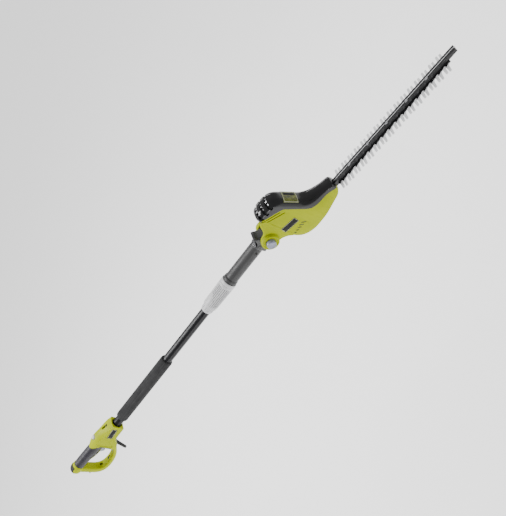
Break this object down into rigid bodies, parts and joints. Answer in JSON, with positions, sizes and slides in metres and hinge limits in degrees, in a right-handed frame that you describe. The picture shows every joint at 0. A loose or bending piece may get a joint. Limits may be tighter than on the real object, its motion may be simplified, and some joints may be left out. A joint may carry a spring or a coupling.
{
  "type": "pole hedge trimmer",
  "caption": "Corded pole hedge trimmer: telescopic pole with foam grip, D-shaped rear handle with trigger, tilting motor head and straight double-sided reciprocating blade.",
  "frame": {"origin": "on the pole axis at the middle of the foam front grip", "axes": "+X along the pole from the rear handle to the blade, +Y to the left, +Z towards the motor cover side"},
  "size_m": [1.7928, 0.091, 0.1835],
  "materials": {
    "pole_black": "satin black lacquer on the inner tube",
    "foam": "matt closed-cell foam",
    "lime_shell": "lime green moulded plastic, fine spark texture",
    "soft_grip": "soft overmould, violet-black, slight sheen",
    "black_gloss": "gloss black moulded plastic",
    "black_matte": "matt black plastic",
    "black_rubber": "black rubber",
    "dark_grey": "dark grey glass-filled plastic",
    "upper_grey": "dark grey lacquer on the upper tube",
    "light_grey": "light grey moulded plastic",
    "blue_grey": "blue-grey moulded plastic",
    "steel": "plain steel",
    "blade_steel": "ground blade steel",
    "rail_black": "satin black coated rail",
    "brass": "bronze and brass",
    "copper": "copper segments",
    "zinc": "die-cast alloy",
    "lamination": "stacked lamination steel",
    "badge": "blank badge plate",
    "label": "blank label plate"
  },
  "bodies": {
    "pole": {"inner_tube": "pole_black", "tube_bush": "light_grey", "foam_grip": "foam", "handle_left": "lime_shell", "handle_right": "lime_shell", "finger_loop_left": "lime_shell", "finger_loop_right": "lime_shell", "rear_grip_sleeve": "soft_grip", "rear_end_cap": "black_rubber", "switch_body": "black_matte", "trigger_spring": "steel", "lock_spring": "steel", "cord_guard": "black_rubber", "cord_clamp": "dark_grey", "handle_screws": "steel", "handle_badges": "badge", "pole_lead": "black_rubber"},
    "trigger": {"trigger": "dark_grey"},
    "lock_button": {"lock_button": "light_grey"},
    "upper_pole": {"upper_tube": "upper_grey", "collet": "light_grey", "knuckle": "dark_grey", "knuckle_screws": "black_matte", "ratchet_disc": "steel", "upper_lead": "black_rubber"},
    "collar": {"locking_collar": "light_grey"},
    "head": {"head_left": "lime_shell", "head_right": "lime_shell", "motor_cover": "black_gloss", "cover_label": "label", "head_badges": "badge", "head_screws": "steel", "pivot_bolt": "steel", "pivot_nut": "steel", "button_spring": "steel", "stator": "lamination", "brush_gear": "brass", "top_bearing": "steel", "bottom_bearing": "steel", "motor_plate": "zinc", "crank_bushes": "brass", "base_cover": "dark_grey", "support_rail": "rail_black", "rail_screws": "steel", "rail_nuts": "steel", "motor_lead": "black_rubber"},
    "tilt_button": {"tilt_button": "blue_grey"},
    "rotor": {"armature": "lamination", "commutator": "copper", "motor_shaft": "steel", "fan": "black_matte"},
    "crank": {"gear_wheel": "steel", "crank_shaft": "steel"},
    "upper_blade": {"upper_blade": "blade_steel"},
    "lower_blade": {"lower_blade": "blade_steel"}
  },
  "joints": [
    {"name": "pole_slide", "type": "slide", "parent": "pole", "child": "upper_pole", "axis": [1, 0, 0], "range_m": [-0.15, 0]},
    {"name": "collar_twist", "type": "hinge", "parent": "upper_pole", "child": "collar", "pos_m": [0.424, 0, 0], "axis": [1, 0, 0], "range_deg": [0, 60]},
    {"name": "head_tilt", "type": "hinge", "parent": "upper_pole", "child": "head", "pos_m": [0.671, 0, -0.004], "axis": [0, 1, 0], "range_deg": [-30, 75]},
    {"name": "tilt_button_press", "type": "slide", "parent": "head", "child": "tilt_button", "axis": [0, 1, 0], "range_m": [0, 0.004], "stiffness_N_per_m": 1500},
    {"name": "trigger_pull", "type": "hinge", "parent": "pole", "child": "trigger", "pos_m": [-0.284, 0, 0.004], "axis": [0, 1, 0], "range_deg": [0, 9], "stiffness_Nm_per_rad": 1.2},
    {"name": "lock_button_press", "type": "slide", "parent": "pole", "child": "lock_button", "axis": [0, 0, -1], "range_m": [0, 0.004], "stiffness_N_per_m": 1200},
    {"name": "crank_spin", "type": "hinge", "parent": "head", "child": "crank", "pos_m": [0.7763, 0, -0.01044], "axis": [0.061, 0, 0.9981], "continuous": true},
    {"name": "motor_spin", "type": "hinge", "parent": "head", "child": "rotor", "pos_m": [0.74886, 0, -0.00876], "axis": [0.061, 0, 0.9981], "continuous": true},
    {"name": "upper_blade_slide", "type": "slide", "parent": "head", "child": "upper_blade", "axis": [0.9981, 0, -0.061], "range_m": [-0.006, 0.006]},
    {"name": "lower_blade_slide", "type": "slide", "parent": "head", "child": "lower_blade", "axis": [0.9981, 0, -0.061], "range_m": [-0.006, 0.006]}
  ],
  "couplings": [
    {"joint": "motor_spin", "follows": "crank_spin", "ratio": -4},
    {"joint": "lower_blade_slide", "follows": "upper_blade_slide", "ratio": -1}
  ]
}
